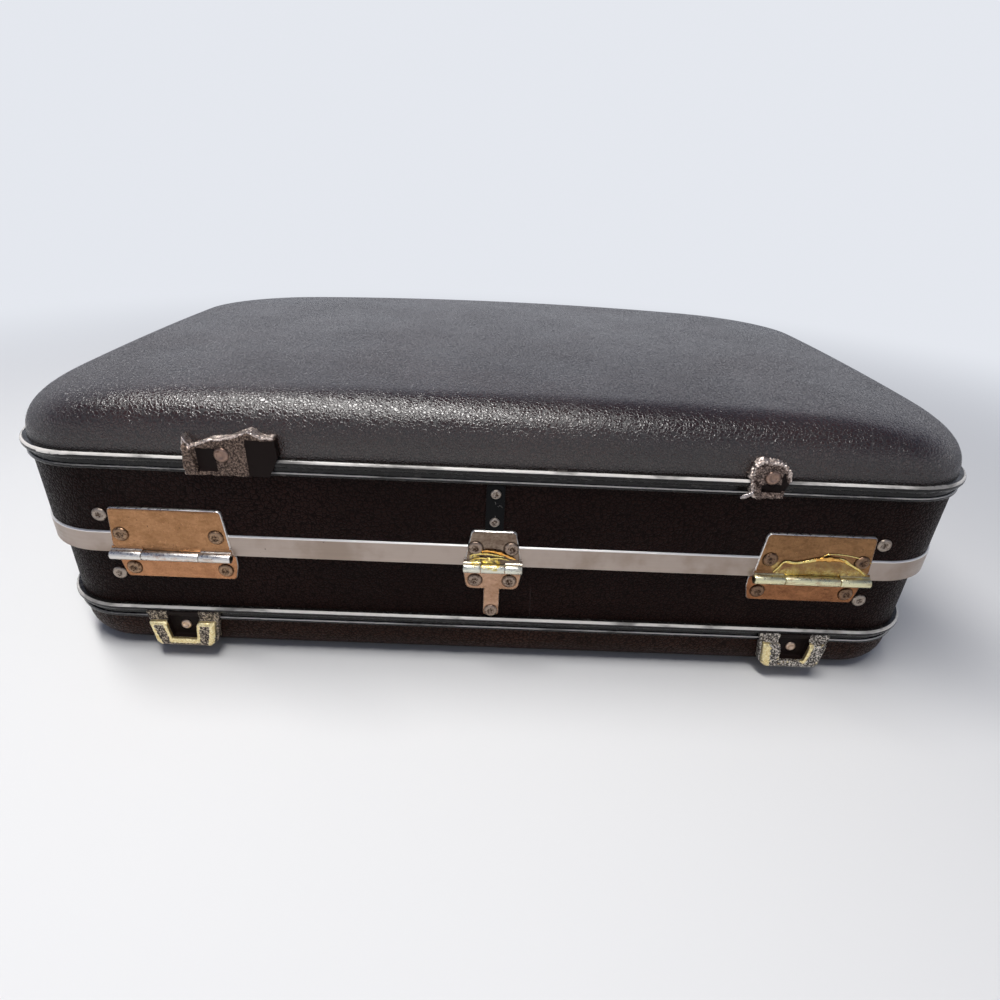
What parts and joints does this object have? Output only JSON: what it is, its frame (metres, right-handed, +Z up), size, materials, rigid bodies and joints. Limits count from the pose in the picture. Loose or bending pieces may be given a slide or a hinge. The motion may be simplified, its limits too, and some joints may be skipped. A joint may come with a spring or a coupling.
{
  "type": "hard-shell travel case",
  "caption": "Hard-shell travel case lying flat: domed grained lid hinged on a shallower base, double-bead welts, metal closing band, rear hinges, carrying handle and hasp latches.",
  "frame": {"origin": "on the surface it lies on, under the middle of the base", "axes": "+X along the width, +Y from the hinge side to the handle side, +Z up through the lid"},
  "size_m": [0.5332, 0.3521, 0.1685],
  "materials": {
    "shell": "leather-grained moulded shell, satin",
    "side_wall": "leather-grained covering, satin",
    "welt": "extruded dark grey plastic, semi-gloss",
    "closing_metal": "satin anodised, nicked",
    "lining": "woven rayon",
    "webbing": "woven webbing",
    "plated_hinge": "thin gold plating, worn through",
    "pin_steel": "bright",
    "painted_strap": "black enamel",
    "plated_foot": "vacuum-plated plastic, flaking",
    "rivet": "dull, darkened",
    "handle_grip": "satin",
    "latch_metal": "plated, lightly worn",
    "key_brass": "satin"
  },
  "bodies": {
    "base": {"base_foot_left": "plated_foot", "base_foot_right": "plated_foot", "base_frame": "closing_metal", "base_lining": "lining", "base_panel": "shell", "base_rivets_centre": "rivet", "base_rivets_left": "rivet", "base_rivets_right": "rivet", "base_wall": "side_wall", "base_welt": "welt", "buckle_left": "latch_metal", "buckle_right": "latch_metal", "foot_rivets": "rivet", "handle_bracket_left": "latch_metal", "handle_bracket_right": "latch_metal", "handle_pin_left": "pin_steel", "handle_pin_right": "pin_steel", "handle_rivets": "rivet", "hinge_centre_base_leaf": "plated_hinge", "hinge_centre_pin": "pin_steel", "hinge_left_base_leaf": "plated_hinge", "hinge_left_pin": "pin_steel", "hinge_right_base_leaf": "plated_hinge", "hinge_right_pin": "pin_steel", "lock_box_left": "latch_metal", "lock_box_right": "latch_metal", "lock_rivets": "rivet", "packing_strap_left": "webbing", "packing_strap_right": "webbing"},
    "lid": {"hasp_bracket_left": "latch_metal", "hasp_bracket_right": "latch_metal", "hasp_pin_left": "pin_steel", "hasp_pin_right": "pin_steel", "hasp_rivets": "rivet", "hinge_centre_lid_leaf": "plated_hinge", "hinge_left_lid_leaf": "plated_hinge", "hinge_right_lid_leaf": "plated_hinge", "lid_band": "closing_metal", "lid_foot_left": "plated_foot", "lid_foot_right": "plated_foot", "lid_lining": "lining", "lid_panel": "shell", "lid_pocket": "lining", "lid_rivets_centre": "rivet", "lid_rivets_left": "rivet", "lid_rivets_right": "rivet", "lid_small_rivets": "rivet", "lid_strap": "painted_strap", "lid_wall": "side_wall", "lid_welt": "welt"},
    "handle": {"handle_arm_left": "latch_metal", "handle_arm_right": "latch_metal", "handle_grip": "handle_grip"},
    "hasp_body_left": {"hasp_left": "latch_metal"},
    "slide_body_left": {"lock_slide_left": "latch_metal"},
    "key_body_left": {"key_plug_left": "key_brass"},
    "hasp_body_right": {"hasp_right": "latch_metal"},
    "slide_body_right": {"lock_slide_right": "latch_metal"},
    "key_body_right": {"key_plug_right": "key_brass"}
  },
  "joints": [
    {"name": "lid_hinge", "type": "hinge", "parent": "base", "child": "lid", "pos_m": [0, -0.1664, 0.073], "axis": [1, 0, 0], "range_deg": [0, 100]},
    {"name": "handle_swing", "type": "hinge", "parent": "base", "child": "handle", "pos_m": [0, 0.1661, 0.058], "axis": [1, 0, 0], "range_deg": [0, 95]},
    {"name": "hasp_swing_left", "type": "hinge", "parent": "lid", "child": "hasp_body_left", "pos_m": [-0.15, 0.1674, 0.091], "axis": [1, 0, 0], "range_deg": [0, 135]},
    {"name": "lock_slide_left", "type": "slide", "parent": "base", "child": "slide_body_left", "axis": [1, 0, 0], "range_m": [0, 0.008]},
    {"name": "key_turn_left", "type": "hinge", "parent": "base", "child": "key_body_left", "pos_m": [-0.13, 0.1681, 0.063], "axis": [0, 1, 0], "range_deg": [0, 90]},
    {"name": "hasp_swing_right", "type": "hinge", "parent": "lid", "child": "hasp_body_right", "pos_m": [0.15, 0.1674, 0.091], "axis": [1, 0, 0], "range_deg": [0, 135]},
    {"name": "lock_slide_right", "type": "slide", "parent": "base", "child": "slide_body_right", "axis": [-1, 0, 0], "range_m": [0, 0.008]},
    {"name": "key_turn_right", "type": "hinge", "parent": "base", "child": "key_body_right", "pos_m": [0.13, 0.1681, 0.063], "axis": [0, 1, 0], "range_deg": [0, 90]}
  ]
}
